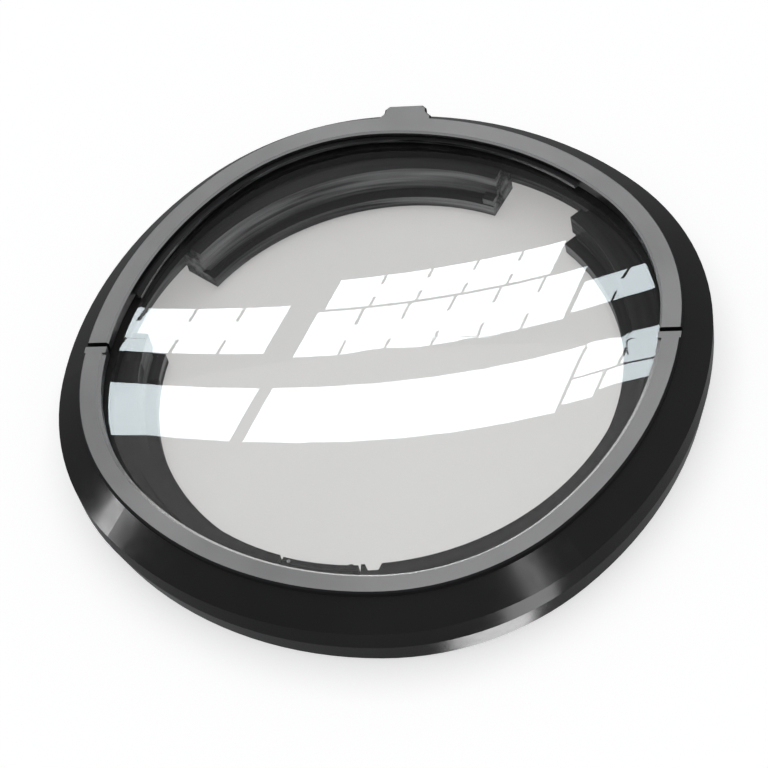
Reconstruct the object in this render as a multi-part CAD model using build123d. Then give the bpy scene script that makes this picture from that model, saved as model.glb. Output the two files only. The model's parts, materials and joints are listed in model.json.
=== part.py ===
from build123d import *
import os
from math import cos, hypot, radians, sin

# Twist-on lens guard. Millimetres, +Z out of the front, z = 0 on the rear rim plane,
# +Y toward the lift tab, +X toward the right-hand joint between the two front half rings.

FACE_R = 23.0            # mean outer radius of the front ring
CENTRE_SHIFT = 4.7       # how far the eight outline arcs sit off the axis (soft square outline)
HEIGHT = 6.2             # rear rim plane to front face
FACE_W = 1.7             # width of the front ring face
FLANGE_T = 0.45          # thickness of the part of the front ring that lies on the skirt
LAND_Z = 5.65            # skirt land under the front ring
SPIGOT_Z = 5.2           # underside of the front ring over the glass
SPIGOT_O = -1.25         # outline offset of the spigot outside
SEAT_BORE_O = -1.15      # outline offset of the skirt bore round glass and spigot
JOINT_GAP = 0.4          # gap between the two half rings
OUTER_CHAMFER = 0.12     # front edges, outside
UPPER_CHAMFER = 0.16     # front edge inside the upper half
LOWER_CHAMFER = 0.3      # front edge inside the lower half
END_STEP = 0.6           # plain length at each end of the lower half ring

CREASE_O = 2.1           # skirt: flare bottom
CREASE_Z = 4.05
RIM_O = 2.05             # skirt: outline offset half way down the rim band
RIM_Z = 2.2
FOOT_O = 1.55            # skirt: outer edge of the rear rim face

TAB_BASE = 4.3
TAB_TOP = 3.4
TAB_OUT = 1.2
TAB_ROOT = 0.4            # rise and radius of the hollow at each side of the tab root
TAB_CHAMFER = 0.35

GLASS_O = -1.25
GLASS_T = 0.8
GLASS_CROWN_Z = 6.0      # 0.2 below the front face, so the guard can lie face down
GLASS_R = 242.0          # front surface radius, 1.0 rise over the clear width
SEAL_O = -2.1
SEAL_Z = 3.9
SHOULDER_Z = 3.15
CUSHION_T = 0.09

LUG_R = 18.2             # bayonet: inner radius of the lugs
STEP_R = 19.1            # bayonet: inner radius of the tall wall in front of the lugs
STEP_OUT_R = 20.3
BLOCK_OUT_R = 21.4
WELL_R = 21.5            # bayonet: inner radius between the lugs
CAVITY_R = 21.7
FLANGE_R = 23.4
RECESS_R = 23.45
FLANGE_Z = (0.9, 2.0)
LUG_Z = (0.25, 1.3)
BLOCK_TOP_Z = 3.0
STEP_TOP_Z = 3.7
UPPER_LUG = (67.0, 146.0)
LOWER_LUG = (172.0, 404.0)
NICK_R = 0.45

SCREW_R = 22.45
SCREW_HEAD = 0.85
SCREW_SHANK = 0.45
SCREW_ANGLES = (35, 145, 215, 325)

PIN_O = -0.58            # outline offset of the guide pins and dowels
PIN_R = 0.35
PIN_FIT = 0.05
PIN_END_Z = 3.3
GUIDE_ANGLES = {"right": 22.5, "centre": 90.0, "left": 157.5}
DOWEL_ANGLES = {"left": 202.5, "centre": 270.0, "right": 337.5}
DOWEL_END_Z = 4.4

FINGER = (253.4, 270.4)  # detent finger, start and end angle
FINGER_POCKET = (252.6, 271.0)
FINGER_R = (19.15, 19.62)
FINGER_Z = (2.7, 3.66)
NIB_R = 0.3
POCKET_OUT_R = 20.0
POCKET_Z = 2.55
PIVOT_ANGLE = 254.9
PIVOT_R = 19.4
PIVOT_PIN_R = 0.14
PIVOT_FIT = 0.03
NOTCH = (272.6, 274.8)   # index notch, narrow end
NOTCH_DEPTH = 0.55

LIP_O = -2.6
LIP_SHIFT = 0.6          # the lip's inner outline sits this far toward the tab, so its ends are widest
LIP_Z = (5.29, 5.62)
LIP_ANGLES = (47.0, 165.0)


def polar(r, angle):
    return (r * cos(radians(angle)), r * sin(radians(angle)))


def edge_point(offset, arc, normal):
    """Point of the outline arc whose outward normal has this angle."""
    middle = 45 * arc + 22.5
    side = 1 if arc % 2 == 0 else -1
    cx, cy = polar(side * CENTRE_SHIFT, middle)
    r = FACE_R - side * CENTRE_SHIFT * cos(radians(22.5)) + offset
    return (cx + r * cos(radians(normal)), cy + r * sin(radians(normal)))


def outline(offset):
    """Soft square of eight tangent 45 degree arcs, grown outward by offset."""
    arcs = []
    for k in range(8):
        ends = [edge_point(offset, k, 45 * k + step) for step in (0, 22.5, 45)]
        arcs.append(ThreePointArc(*ends))
    return make_face(Wire(arcs))


def on_outline(offset, angle):
    """Point of the outline where the outward normal has this angle."""
    return edge_point(offset, int(angle // 45) % 8, angle)


def prism(offset, z0, z1):
    return extrude(Pos(0, 0, z0) * outline(offset), z1 - z0)


def flare(offset_a, z_a, offset_b, z_b):
    return loft([Pos(0, 0, z_a) * outline(offset_a), Pos(0, 0, z_b) * outline(offset_b)], ruled=True)


def disc(r, z0, z1):
    return Pos(0, 0, z0) * Cylinder(r, z1 - z0, align=(Align.CENTER, Align.CENTER, Align.MIN))


def peg(x, y, r, z0, z1):
    return Pos(x, y, 0) * disc(r, z0, z1)


def sector(r, a0, a1, z0, z1):
    rim = ThreePointArc(polar(r, a0), polar(r, (a0 + a1) / 2), polar(r, a1))
    face = make_face(Wire([Line((0, 0), polar(r, a0)), rim, Line(polar(r, a1), (0, 0))]))
    return extrude(Pos(0, 0, z0) * face, z1 - z0)


def arc_band(r0, r1, a0, a1, z0, z1):
    return sector(r1, a0, a1, z0, z1) - disc(r0, z0 - 1, z1 + 1)


def half_space(y0, y1):
    return Pos(0, (y0 + y1) / 2, HEIGHT / 2) * Box(80, abs(y1 - y0), 4 * HEIGHT)


def ball(r, crown_z):
    return Pos(0, 0, crown_z - r) * Sphere(r)


def face_ring(seat_z):
    """Full front ring: flange on the skirt land and a spigot reaching down to the glass."""
    ring = prism(0, seat_z, HEIGHT) + prism(SPIGOT_O, SPIGOT_Z, seat_z)
    return ring - prism(-FACE_W, 0, HEIGHT + 1)


def front_edges(part, inside):
    """Front face edges on one side of the ring's middle line, without the straight ends at the joint."""
    edges = part.edges().filter_by_position(Axis.Z, HEIGHT - 0.001, HEIGHT + 0.001)
    edges = [e for e in edges if e.geom_type != GeomType.LINE or e.center().Y > FACE_R / 2]
    middle = FACE_R - FACE_W / 2
    return [e for e in edges if (hypot(e.center().X, e.center().Y) < middle) == inside]


def lift_tab():
    half_base = TAB_BASE / 2
    half_top = TAB_TOP / 2
    neck_y = FACE_R + TAB_ROOT
    tip_y = FACE_R + TAB_OUT
    points = [(-half_base, FACE_R - 0.8), (-half_base, FACE_R - 0.02), (-half_top - 0.03, neck_y)]
    points += [(-half_top, tip_y - TAB_CHAMFER), (-half_top + TAB_CHAMFER, tip_y)]
    mirrored = [(-x, y) for x, y in reversed(points)]
    face = make_face(Polyline(points + mirrored, close=True))
    necks = [v for v in face.vertices() if abs(v.Y - neck_y) < 0.001]
    face = fillet(necks, TAB_ROOT)
    return extrude(Pos(0, 0, HEIGHT - FLANGE_T) * face, FLANGE_T)


def bezel_upper():
    half = face_ring(HEIGHT - FLANGE_T) & half_space(JOINT_GAP / 2, 40)
    half += lift_tab()
    half = chamfer(front_edges(half, inside=True), UPPER_CHAMFER)
    half = chamfer(front_edges(half, inside=False), OUTER_CHAMFER)
    for angle in GUIDE_ANGLES.values():
        x, y = on_outline(PIN_O, angle)
        half -= peg(x, y, PIN_R, 0, HEIGHT - 0.25)
    return half


def bezel_lower():
    plain_end = -JOINT_GAP / 2 - END_STEP
    ring = face_ring(LAND_Z)
    half = ring & half_space(plain_end, -40)
    half = chamfer(front_edges(half, inside=True), LOWER_CHAMFER)
    half = chamfer(front_edges(half, inside=False), OUTER_CHAMFER)
    half += ring & half_space(-JOINT_GAP / 2, plain_end)
    for angle in DOWEL_ANGLES.values():
        x, y = on_outline(PIN_O, angle)
        half -= peg(x, y, PIN_R, 0, HEIGHT - 0.25)
    return half


def cushion(keep):
    """Soft strip between the spigot and the glass edge."""
    strip = prism(SPIGOT_O - 0.04, SPIGOT_Z - 0.4, SPIGOT_Z) - prism(-FACE_W + 0.04, 0, HEIGHT)
    return strip & keep


def cushion_lower():
    return cushion(half_space(-JOINT_GAP / 2, -40)) - ball(GLASS_R, GLASS_CROWN_Z)


def cushion_upper():
    strip = cushion(half_space(JOINT_GAP / 2, 40))
    return strip - disc(30, 0, SPIGOT_Z - CUSHION_T)


def retaining_lip():
    band = prism(-FACE_W, *LIP_Z) - Pos(0, LIP_SHIFT, 0) * prism(LIP_O, 0, HEIGHT)
    band = band & sector(30, *LIP_ANGLES, 0, HEIGHT)
    x, y = polar(FACE_R + LIP_O + 0.5, LIP_ANGLES[1])
    return band - peg(x, y, NICK_R * 0.7, 0, HEIGHT)


def housing_skirt():
    body = flare(FOOT_O, 0, RIM_O, RIM_Z) + flare(RIM_O, RIM_Z, CREASE_O, CREASE_Z)
    body += flare(CREASE_O, CREASE_Z, 0, LAND_Z)
    body -= prism(SEAT_BORE_O, SEAL_Z, HEIGHT)
    body -= prism(SEAL_O, 0, HEIGHT)
    body -= disc(CAVITY_R, -1, SHOULDER_Z)
    body -= disc(RECESS_R, -1, FLANGE_Z[1])
    for angle in GUIDE_ANGLES.values():
        x, y = on_outline(PIN_O, angle)
        body -= peg(x, y, PIN_R + PIN_FIT, PIN_END_Z - 0.3, HEIGHT)
    for angle in DOWEL_ANGLES.values():
        x, y = on_outline(PIN_O, angle)
        body -= peg(x, y, PIN_R, DOWEL_END_Z, HEIGHT)
    for angle in SCREW_ANGLES:
        x, y = polar(SCREW_R, angle)
        body -= peg(x, y, SCREW_SHANK, 0, FLANGE_Z[1] + 1.2)
    return body


def cover_glass():
    front = prism(GLASS_O, 2, HEIGHT) & ball(GLASS_R, GLASS_CROWN_Z)
    return front - ball(GLASS_R - GLASS_T, GLASS_CROWN_Z - GLASS_T)


def glass_seal():
    ring = prism(SEAT_BORE_O, SEAL_Z, HEIGHT) - prism(SEAL_O, 0, HEIGHT)
    return ring & ball(GLASS_R - GLASS_T, GLASS_CROWN_Z - GLASS_T)


def bayonet_ring():
    ring = disc(FLANGE_R, *FLANGE_Z) - disc(WELL_R, 0, HEIGHT)
    for a0, a1 in (UPPER_LUG, LOWER_LUG):
        ring += arc_band(LUG_R, BLOCK_OUT_R, a0, a1, *LUG_Z)
        ring += arc_band(STEP_R, BLOCK_OUT_R, a0, a1, LUG_Z[1] - 0.1, BLOCK_TOP_Z)
        ring += arc_band(BLOCK_OUT_R - 0.2, WELL_R + 0.2, a0, a1, *FLANGE_Z)
        ring += arc_band(STEP_R, STEP_OUT_R, a0, a1, BLOCK_TOP_Z - 0.1, STEP_TOP_Z)
        for a in (a0, a1):
            x, y = polar(STEP_R, a)
            ring -= peg(x, y, NICK_R, LUG_Z[1], LUG_Z[1] + 0.6)
    ring += arc_band(LUG_R + 0.1, STEP_R + 0.2, UPPER_LUG[0], UPPER_LUG[0] + 3, LUG_Z[0], LUG_Z[1] + 0.6)
    ring -= arc_band(STEP_R - 1, POCKET_OUT_R, *FINGER_POCKET, POCKET_Z, HEIGHT)
    ring -= index_notch()
    for angle in SCREW_ANGLES:
        x, y = polar(SCREW_R, angle)
        ring -= peg(x, y, SCREW_HEAD, 0, FLANGE_Z[0] + 0.5)
        ring -= peg(x, y, SCREW_SHANK, 0, FLANGE_Z[1] + 0.1)
    return ring


def index_notch():
    """Trapezoid cut in the wall above the lugs, opposite the tab, wider toward the axis."""
    inner = [polar(STEP_R - 0.3, NOTCH[0] - 1.2), polar(STEP_R - 0.3, NOTCH[1] + 1.2)]
    outer = [polar(STEP_R + NOTCH_DEPTH, NOTCH[1]), polar(STEP_R + NOTCH_DEPTH, NOTCH[0])]
    face = make_face(Polyline(inner + outer, close=True))
    return extrude(Pos(0, 0, POCKET_Z) * face, HEIGHT)


def bayonet_screw(angle):
    x, y = polar(SCREW_R, angle)
    head = peg(x, y, SCREW_HEAD - 0.02, FLANGE_Z[0] + 0.05, FLANGE_Z[0] + 0.5)
    slot = Pos(x, y, FLANGE_Z[0]) * Rot(0, 0, angle) * Box(1.3, 0.22, 0.4)
    return head - slot + peg(x, y, SCREW_SHANK, FLANGE_Z[0] + 0.4, FLANGE_Z[1] + 1.1)


def detent_finger():
    blade = arc_band(*FINGER_R, *FINGER, *FINGER_Z)
    x, y = polar(FINGER_R[0] + 0.2, FINGER[1] - 1.6)
    blade += peg(x, y, NIB_R, *FINGER_Z)
    px, py = polar(PIVOT_R, PIVOT_ANGLE)
    return blade - peg(px, py, PIVOT_PIN_R + PIVOT_FIT, 0, HEIGHT)


def pivot_pin():
    px, py = polar(PIVOT_R, PIVOT_ANGLE)
    return peg(px, py, PIVOT_PIN_R, POCKET_Z, FINGER_Z[1])


def rear_gasket():
    """Soft ring round the outer edge of the rear recess, flush with the rim."""
    return disc(RECESS_R, 0.02, FLANGE_Z[0]) - disc(RECESS_R - 0.55, -1, HEIGHT)


os.makedirs("parts", exist_ok=True)
nodes = {
    "housing_skirt": housing_skirt(),
    "bezel_lower": bezel_lower(),
    "cushion_lower": cushion_lower(),
    "cover_glass": cover_glass(),
    "glass_seal": glass_seal(),
    "bayonet_ring": bayonet_ring(),
    "rear_gasket": rear_gasket(),
    "pivot_pin": pivot_pin(),
    "bezel_upper": bezel_upper(),
    "retaining_lip": retaining_lip(),
    "cushion_upper": cushion_upper(),
    "detent_finger": detent_finger(),
}
for number, angle in enumerate(SCREW_ANGLES, start=1):
    nodes[f"bayonet_screw_{number}"] = bayonet_screw(angle)
for side, angle in GUIDE_ANGLES.items():
    x, y = on_outline(PIN_O, angle)
    nodes[f"guide_pin_{side}"] = peg(x, y, PIN_R, PIN_END_Z, HEIGHT - 0.25)
for side, angle in DOWEL_ANGLES.items():
    x, y = on_outline(PIN_O, angle)
    nodes[f"dowel_{side}"] = peg(x, y, PIN_R, DOWEL_END_Z, HEIGHT - 0.25)
for name, shape in nodes.items():
    export_step(shape, f"parts/{name}.step")
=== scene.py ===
import json
import math

import bmesh
import bpy
from mathutils import Matrix, Vector


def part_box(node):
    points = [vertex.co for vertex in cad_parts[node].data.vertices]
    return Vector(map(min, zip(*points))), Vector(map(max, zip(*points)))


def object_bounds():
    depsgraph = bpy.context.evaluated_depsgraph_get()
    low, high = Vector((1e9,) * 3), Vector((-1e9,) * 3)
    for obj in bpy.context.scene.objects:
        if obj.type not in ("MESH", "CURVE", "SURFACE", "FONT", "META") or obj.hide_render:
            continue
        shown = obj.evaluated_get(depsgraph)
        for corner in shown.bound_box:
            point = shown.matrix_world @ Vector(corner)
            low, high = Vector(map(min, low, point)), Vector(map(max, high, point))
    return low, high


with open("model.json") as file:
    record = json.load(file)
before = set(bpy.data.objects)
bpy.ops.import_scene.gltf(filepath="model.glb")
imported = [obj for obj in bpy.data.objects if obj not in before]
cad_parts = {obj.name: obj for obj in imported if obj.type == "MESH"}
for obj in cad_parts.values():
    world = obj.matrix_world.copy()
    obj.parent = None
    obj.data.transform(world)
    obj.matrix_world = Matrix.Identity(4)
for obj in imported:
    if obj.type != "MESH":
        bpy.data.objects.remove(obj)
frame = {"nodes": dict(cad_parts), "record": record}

CAD_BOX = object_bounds()
NODES = frame["nodes"]
FRONT_Z = CAD_BOX[1][2]                      # front face of the ring
RING_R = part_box("bezel_lower")[1][0]         # outer radius of the front ring
FRONT_CENTRE = Vector((0.0, 0.0, FRONT_Z))

# Camera: a long-lens view from 50 degrees up, a little to the right, slightly rolled.
CAMERA_RIGHT = Vector((0.9817, 0.0970, -0.1637))
CAMERA_UP = Vector((0.0269, 0.7811, 0.6239))
CAMERA_BACK = CAMERA_RIGHT.cross(CAMERA_UP).normalized()
CAMERA_DISTANCE = 8.22 * RING_R
FOCAL_MM = 116.7
SENSOR_MM = 36.0
AIM_RIGHT = 0.022 * RING_R
AIM_DOWN = 0.155 * RING_R

NOISE_ROUGHNESS = 0.55


# ---------------------------------------------------------------- shader helpers

class Shader:
    """Node tree of one material, with short calls for the nodes used here."""

    def __init__(self, name):
        self.material = bpy.data.materials.new(name)
        self.material.use_nodes = True
        self.tree = self.material.node_tree
        self.bsdf = self.tree.nodes["Principled BSDF"]
        self.coords = self.add("ShaderNodeTexCoord").outputs["Object"]

    def add(self, kind):
        return self.tree.nodes.new(kind)

    def link(self, source, target):
        self.tree.links.new(source, target)

    def set(self, **values):
        for name, value in values.items():
            self.bsdf.inputs[name.replace("_", " ")].default_value = value

    def noise(self, scale, detail=4.0):
        node = self.add("ShaderNodeTexNoise")
        node.inputs["Scale"].default_value = scale
        node.inputs["Detail"].default_value = detail
        node.inputs["Roughness"].default_value = NOISE_ROUGHNESS
        self.link(self.coords, node.inputs["Vector"])
        return node.outputs["Fac"]

    def ring_noise(self, along, across, detail=3.0):
        """Noise drawn out into long arcs round the axis: along is per radian, across per metre."""
        split = self.add("ShaderNodeSeparateXYZ")
        self.link(self.coords, split.inputs["Vector"])
        x, y, z = (split.outputs[axis] for axis in "XYZ")
        angle = self.math("ARCTAN2", y, x)
        squares = self.math("ADD", self.math("MULTIPLY", x, x), self.math("MULTIPLY", y, y))
        radius = self.math("SQRT", squares, 0.0)
        combine = self.add("ShaderNodeCombineXYZ")
        for socket, value, scale in zip(combine.inputs, (angle, radius, z), (along, across, across)):
            self.link(self.math("MULTIPLY", value, scale), socket)
        node = self.add("ShaderNodeTexNoise")
        node.inputs["Scale"].default_value = 1.0
        node.inputs["Detail"].default_value = detail
        self.link(combine.outputs["Vector"], node.inputs["Vector"])
        return node.outputs["Fac"]

    def remap(self, value, low, high, start=0.3, end=0.7):
        node = self.add("ShaderNodeMapRange")
        node.inputs["From Min"].default_value = start
        node.inputs["From Max"].default_value = end
        node.inputs["To Min"].default_value = low
        node.inputs["To Max"].default_value = high
        self.link(value, node.inputs["Value"])
        return node.outputs["Result"]

    def math(self, operation, a, b):
        node = self.add("ShaderNodeMath")
        node.operation = operation
        for socket, value in zip(node.inputs, (a, b)):
            if isinstance(value, (int, float)):
                socket.default_value = value
            else:
                self.link(value, socket)
        return node.outputs[0]

    def mix(self, factor, a, b):
        node = self.add("ShaderNodeMix")
        node.data_type = "RGBA"
        self.link(factor, node.inputs["Factor"])
        for socket, value in ((node.inputs[6], a), (node.inputs[7], b)):
            if isinstance(value, tuple):
                socket.default_value = (*value, 1.0)
            else:
                self.link(value, socket)
        return node.outputs[2]

    def bump(self, height, distance, strength=1.0):
        node = self.add("ShaderNodeBump")
        node.inputs["Distance"].default_value = distance
        node.inputs["Strength"].default_value = strength
        self.link(height, node.inputs["Height"])
        self.link(node.outputs["Normal"], self.bsdf.inputs["Normal"])


def slope_mask(s, low, high):
    """1 where the surface faces up at a slant, between these two heights of its unit normal."""
    normal = s.add("ShaderNodeTexCoord").outputs["Normal"]
    split = s.add("ShaderNodeSeparateXYZ")
    s.link(normal, split.inputs["Vector"])
    above = s.math("GREATER_THAN", split.outputs["Z"], low)
    below = s.math("LESS_THAN", split.outputs["Z"], high)
    return s.math("MULTIPLY", above, below)


def inward_mask(s):
    """1 where the surface faces the axis, 0 where it faces away from it."""
    normal = s.add("ShaderNodeTexCoord").outputs["Normal"]
    outward = s.add("ShaderNodeVectorMath")
    outward.operation = "MULTIPLY"
    outward.inputs[1].default_value = (1.0, 1.0, 0.0)
    s.link(s.coords, outward.inputs[0])
    dot = s.add("ShaderNodeVectorMath")
    dot.operation = "DOT_PRODUCT"
    s.link(normal, dot.inputs[0])
    s.link(outward.outputs["Vector"], dot.inputs[1])
    return s.math("LESS_THAN", dot.outputs["Value"], 0.0)


def satin_ring():
    """Bead-blasted grey anodised aluminium, with a painted highlight on its inner chamfer and painted
    shade on its side walls and outer chamfer.
    """
    s = Shader("satin_ring")
    tone = s.remap(s.noise(55, 3), 0.0, 1.0, 0.38, 0.62)
    chamfer = slope_mask(s, 0.45, 0.93)
    # Inward-facing chamfers are painted near white: a painted highlight standing in for the
    # reflection of a strong light.
    painted_highlight = s.math("MULTIPLY", chamfer, inward_mask(s))
    # Side walls and the other chamfers are painted near black: painted shade on the same grey metal.
    side = slope_mask(s, -0.4, 0.45)
    face = s.mix(tone, (0.33, 0.331, 0.333), (0.44, 0.441, 0.443))
    walls = s.mix(side, face, (0.07, 0.07, 0.072))
    shaded_chamfers = s.mix(chamfer, walls, (0.06, 0.06, 0.062))
    s.link(s.mix(painted_highlight, shaded_chamfers, (0.82, 0.82, 0.82)), s.bsdf.inputs["Base Color"])
    s.set(Metallic=0.9)
    rough = s.remap(s.noise(500, 4), 0.3, 0.38)
    s.link(s.math("SUBTRACT", rough, s.math("MULTIPLY", painted_highlight, 0.12)), s.bsdf.inputs["Roughness"])
    s.bump(s.noise(14000, 2), 0.000004, 0.5)
    return s.material


def gloss_black():
    """Polished black moulding with a faint orange peel."""
    s = Shader("gloss_black")
    tone = s.remap(s.noise(60, 3), 0.0, 1.0)
    s.link(s.mix(tone, (0.012, 0.012, 0.0125), (0.018, 0.018, 0.0185)), s.bsdf.inputs["Base Color"])
    s.link(s.remap(s.noise(900, 4), 0.14, 0.2), s.bsdf.inputs["Roughness"])
    s.bump(s.noise(600, 2), 0.000006, 0.3)
    # Steep and downward faces get a much lower specular level than up-facing ones, which keeps the
    # rim band dark: painted shade.
    s.link(s.remap(slope_mask(s, 0.3, 1.1), 0.07, 0.3, 0.0, 1.0), s.bsdf.inputs["Specular IOR Level"])
    return s.material


def inner_black():
    """Black anodised turned metal: painted reflections in soft arcs of tone round the walls, and
    painted shade keeping its up-facing steps plain black.
    """
    s = Shader("inner_black")
    # The soft arcs and the thin streaks in the wall colour are painted reflections, not a finish of
    # the metal.
    arcs = s.remap(s.ring_noise(0.9, 900.0), 0.0, 1.0, 0.46, 0.64)
    fine_reflection = s.remap(s.ring_noise(2.5, 5200.0), 0.0, 0.35)
    tone = s.math("ADD", s.math("MULTIPLY", arcs, 0.75), fine_reflection)
    # Up-facing faces are darkened twentyfold and lose most specular and all metal: painted shade.
    shaded_ledge = slope_mask(s, 0.5, 1.1)
    tone = s.math("MULTIPLY", tone, s.remap(shaded_ledge, 1.0, 0.05, 0.0, 1.0))
    s.link(s.mix(tone, (0.018, 0.018, 0.019), (0.58, 0.59, 0.60)), s.bsdf.inputs["Base Color"])
    s.link(s.remap(s.ring_noise(4.0, 3000.0), 0.14, 0.24), s.bsdf.inputs["Roughness"])
    s.link(s.remap(shaded_ledge, 0.5, 0.12, 0.0, 1.0), s.bsdf.inputs["Specular IOR Level"])
    s.link(s.remap(shaded_ledge, 0.5, 0.0, 0.0, 1.0), s.bsdf.inputs["Metallic"])
    s.bump(s.ring_noise(6.0, 12000.0), 0.000002, 0.3)
    return s.material


def clear_glass():
    """Coated clear cover glass, tinted grey so that the floor seen through it is darker, with a trace
    of wiping haze.
    """
    s = Shader("clear_glass")
    s.link(s.mix(s.remap(s.noise(40, 2), 0.0, 1.0), (0.572, 0.566, 0.558), (0.592, 0.586, 0.578)),
           s.bsdf.inputs["Base Color"])
    s.bsdf.inputs["Transmission Weight"].default_value = 1.0
    s.bsdf.inputs["IOR"].default_value = 1.5
    s.link(s.remap(s.noise(300, 5), 0.0, 0.012), s.bsdf.inputs["Roughness"])
    return s.material


def soft_black():
    """Matt black elastomer of the cushions, seal and gasket."""
    s = Shader("soft_black")
    s.link(s.mix(s.remap(s.noise(400, 4), 0.0, 1.0), (0.012, 0.012, 0.012), (0.022, 0.022, 0.022)),
           s.bsdf.inputs["Base Color"])
    s.link(s.remap(s.noise(3000, 3), 0.6, 0.78), s.bsdf.inputs["Roughness"])
    s.bump(s.noise(6000, 3), 0.00001, 0.6)
    return s.material


def steel():
    """Turned stainless steel of the pins and screws."""
    s = Shader("steel")
    s.link(s.mix(s.remap(s.noise(800, 4), 0.0, 1.0), (0.5, 0.5, 0.51), (0.58, 0.58, 0.59)),
           s.bsdf.inputs["Base Color"])
    s.set(Metallic=1.0)
    s.link(s.remap(s.noise(4000, 3), 0.24, 0.38), s.bsdf.inputs["Roughness"])
    s.bump(s.noise(9000, 2), 0.000003, 0.4)
    return s.material


MAKERS = (satin_ring, gloss_black, inner_black, clear_glass, soft_black, steel)
MATERIALS = {make.__name__: make() for make in MAKERS}
for part in frame["record"]["subparts"]:
    node = NODES[part["node"]]
    node.data.materials.clear()
    node.data.materials.append(MATERIALS[part["material_slot"]])


# ---------------------------------------------------------------- stage

def emitter(name, colour, strength):
    material = bpy.data.materials.new(name)
    material.use_nodes = True
    tree = material.node_tree
    tree.nodes.remove(tree.nodes["Principled BSDF"])
    node = tree.nodes.new("ShaderNodeEmission")
    node.inputs["Color"].default_value = (*colour, 1.0)
    node.inputs["Strength"].default_value = strength
    tree.links.new(node.outputs["Emission"], tree.nodes["Material Output"].inputs["Surface"])
    return material


def only_on(light, *names):
    """Lets this light or glowing panel fall only on the named CAD nodes."""
    group = bpy.data.collections.new(light.name + "_receivers")
    for name in names:
        group.objects.link(NODES[name])
    light.light_linking.receiver_collection = group


def reflection_only(obj):
    """Leaves this object visible in reflections and nowhere else."""
    obj.visible_camera = False
    obj.visible_diffuse = False
    obj.visible_transmission = False
    obj.visible_shadow = False


def window_wall():
    """Softbox wall of curved window panes, seen only as the reflections in the cover glass."""
    toward = Vector((-0.189, 0.615, 0.766)).normalized()
    across = toward.cross(Vector((0, 0, 1))).normalized()
    down = across.cross(toward)
    middle = FRONT_CENTRE + 0.8 * toward
    mesh = bmesh.new()
    cells = 6

    def corner(column, row):
        """Panes follow a drooping curve and lean to one side, as the room's windows do."""
        u = column - 0.6 * row
        v = row + 0.212 * u - 1.167 * u * u
        return mesh.verts.new(middle + u * across + v * down)

    def pane(left, right, top, bottom):
        edges = [left + (right - left) * i / cells for i in range(cells + 1)]
        upper = [corner(x, top) for x in edges]
        lower = [corner(x, bottom) for x in edges]
        for i in range(cells):
            mesh.faces.new((upper[i], upper[i + 1], lower[i + 1], lower[i]))

    pitch = 0.036
    bar = 0.0024

    def window_row(left, count, top, bottom):
        """A row of panes whose bars show only as short ticks at its top and bottom edges."""
        tick = 0.3 * (bottom - top)
        for i in range(count):
            start = left + i * pitch
            for upper, lower in ((top, top + tick), (bottom - tick, bottom)):
                pane(start, start + pitch - bar, upper, lower)
        pane(left, left + count * pitch - bar, top + tick, bottom - tick)

    window_row(-0.056, 5, -0.069, -0.038)
    window_row(-0.060, 6, -0.0355, 0.012)
    window_row(0.158, 3, -0.020, 0.008)
    window_row(-0.082 - 5 * pitch, 5, -0.045, 0.007)
    pane(-0.300, -0.072, 0.045, 0.104)
    pane(-0.062, 0.186, 0.045, 0.104)
    pane(0.189, 0.225, 0.045, 0.074)
    pane(0.189, 0.215, 0.076, 0.098)
    pane(0.228, 0.320, 0.045, 0.074)
    pane(0.218, 0.320, 0.076, 0.092)
    data = bpy.data.meshes.new("window_wall")
    mesh.to_mesh(data)
    mesh.free()
    wall = bpy.data.objects.new("window_wall", data)
    wall.data.materials.append(emitter("window_light", (0.86, 0.96, 1.0), 14.0))
    bpy.context.scene.collection.objects.link(wall)
    reflection_only(wall)
    only_on(wall, "cover_glass")


def floor():
    """Pale paper that glows a little; it casts no shadow, so that floor_bounce reaches the skirt."""
    bpy.ops.mesh.primitive_plane_add(size=6.0, location=(0, 0, -0.00005))
    plane = bpy.context.active_object
    plane.name = "floor"
    s = Shader("floor_paper")
    s.link(s.mix(s.remap(s.noise(3, 2), 0.0, 1.0), (0.62, 0.62, 0.62), (0.64, 0.64, 0.64)),
           s.bsdf.inputs["Base Color"])
    s.set(Roughness=0.9, Emission_Strength=0.62)
    s.bsdf.inputs["Emission Color"].default_value = (1.0, 1.0, 1.0, 1.0)
    plane.data.materials.append(s.material)
    plane.visible_glossy = False
    plane.visible_shadow = False


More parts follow.
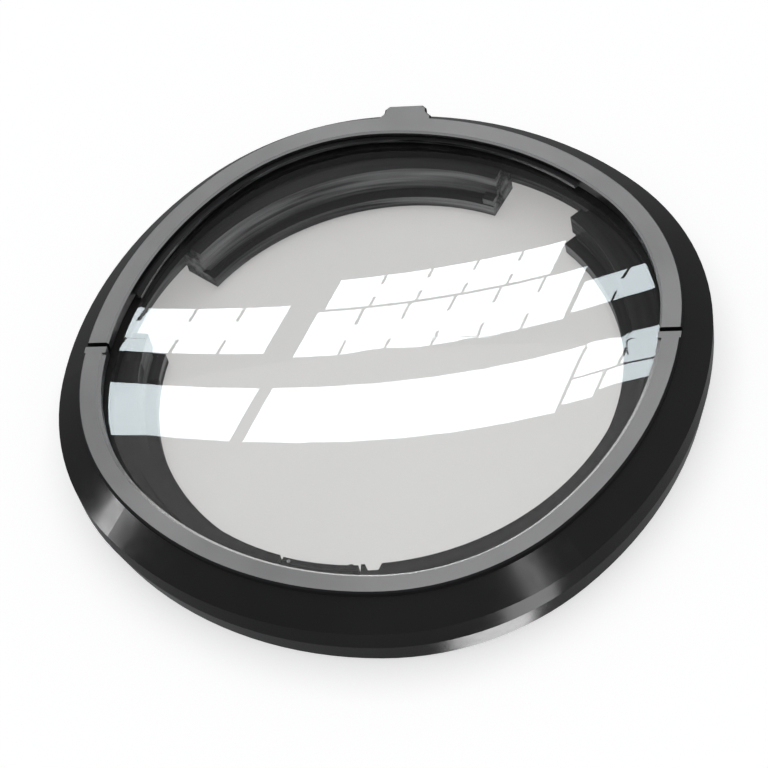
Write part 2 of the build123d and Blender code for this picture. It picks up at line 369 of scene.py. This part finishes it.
def area_light(name, place, size, watts):
    """White rectangular light at this place, aimed at the middle of the front face."""
    light = bpy.data.lights.new(name, "AREA")
    light.shape = "RECTANGLE"
    light.size, light.size_y = size
    light.energy = watts
    lamp = bpy.data.objects.new(name, light)
    lamp.location = place
    lamp.rotation_euler = (FRONT_CENTRE - Vector(place)).to_track_quat("-Z", "Y").to_euler()
    bpy.context.scene.collection.objects.link(lamp)
    return lamp


window_wall()
floor()
NODES["cover_glass"].visible_shadow = False

top = area_light("top_soft", (0.0, 0.15, 1.3), (1.6, 1.6), 10.0)
top.visible_glossy = False
sky = area_light("ring_sky", (-0.30, 0.95, 1.15), (1.6, 1.2), 4.2)
only_on(sky, "bezel_upper", "bezel_lower", "retaining_lip")
SKIRT_PATCHES = (("left_patch", (-0.745, -0.06, 0.25), (0.08, 0.2), 0.8),
                 ("right_patch", (0.45, -0.385, 0.49), (0.08, 0.3), 0.5),
                 ("floor_bounce", (0.20, -0.17, -0.53), (0.14, 0.5), 1.6))
for patch in SKIRT_PATCHES:
    only_on(area_light(*patch), "housing_skirt")

world = bpy.data.worlds.new("studio")
bpy.context.scene.world = world
world.use_nodes = True
world.node_tree.nodes["Background"].inputs["Color"].default_value = (0.97, 0.98, 1.0, 1.0)
world.node_tree.nodes["Background"].inputs["Strength"].default_value = 0.22

# ---------------------------------------------------------------- camera

camera = bpy.data.cameras.new("camera")
camera.lens = FOCAL_MM
camera.sensor_width = SENSOR_MM
camera.clip_start = 0.01
place = FRONT_CENTRE + CAMERA_DISTANCE * CAMERA_BACK
aim = FRONT_CENTRE + AIM_RIGHT * CAMERA_RIGHT - AIM_DOWN * CAMERA_UP
back = (place - aim).normalized()
right = CAMERA_UP.cross(back).normalized()
up = back.cross(right)
camera_object = bpy.data.objects.new("camera", camera)
axes = Matrix((right, up, back)).transposed().to_4x4()
camera_object.matrix_world = Matrix.Translation(place) @ axes
bpy.context.scene.collection.objects.link(camera_object)
bpy.context.scene.camera = camera_object

scene = bpy.context.scene
scene.view_settings.view_transform = "Standard"
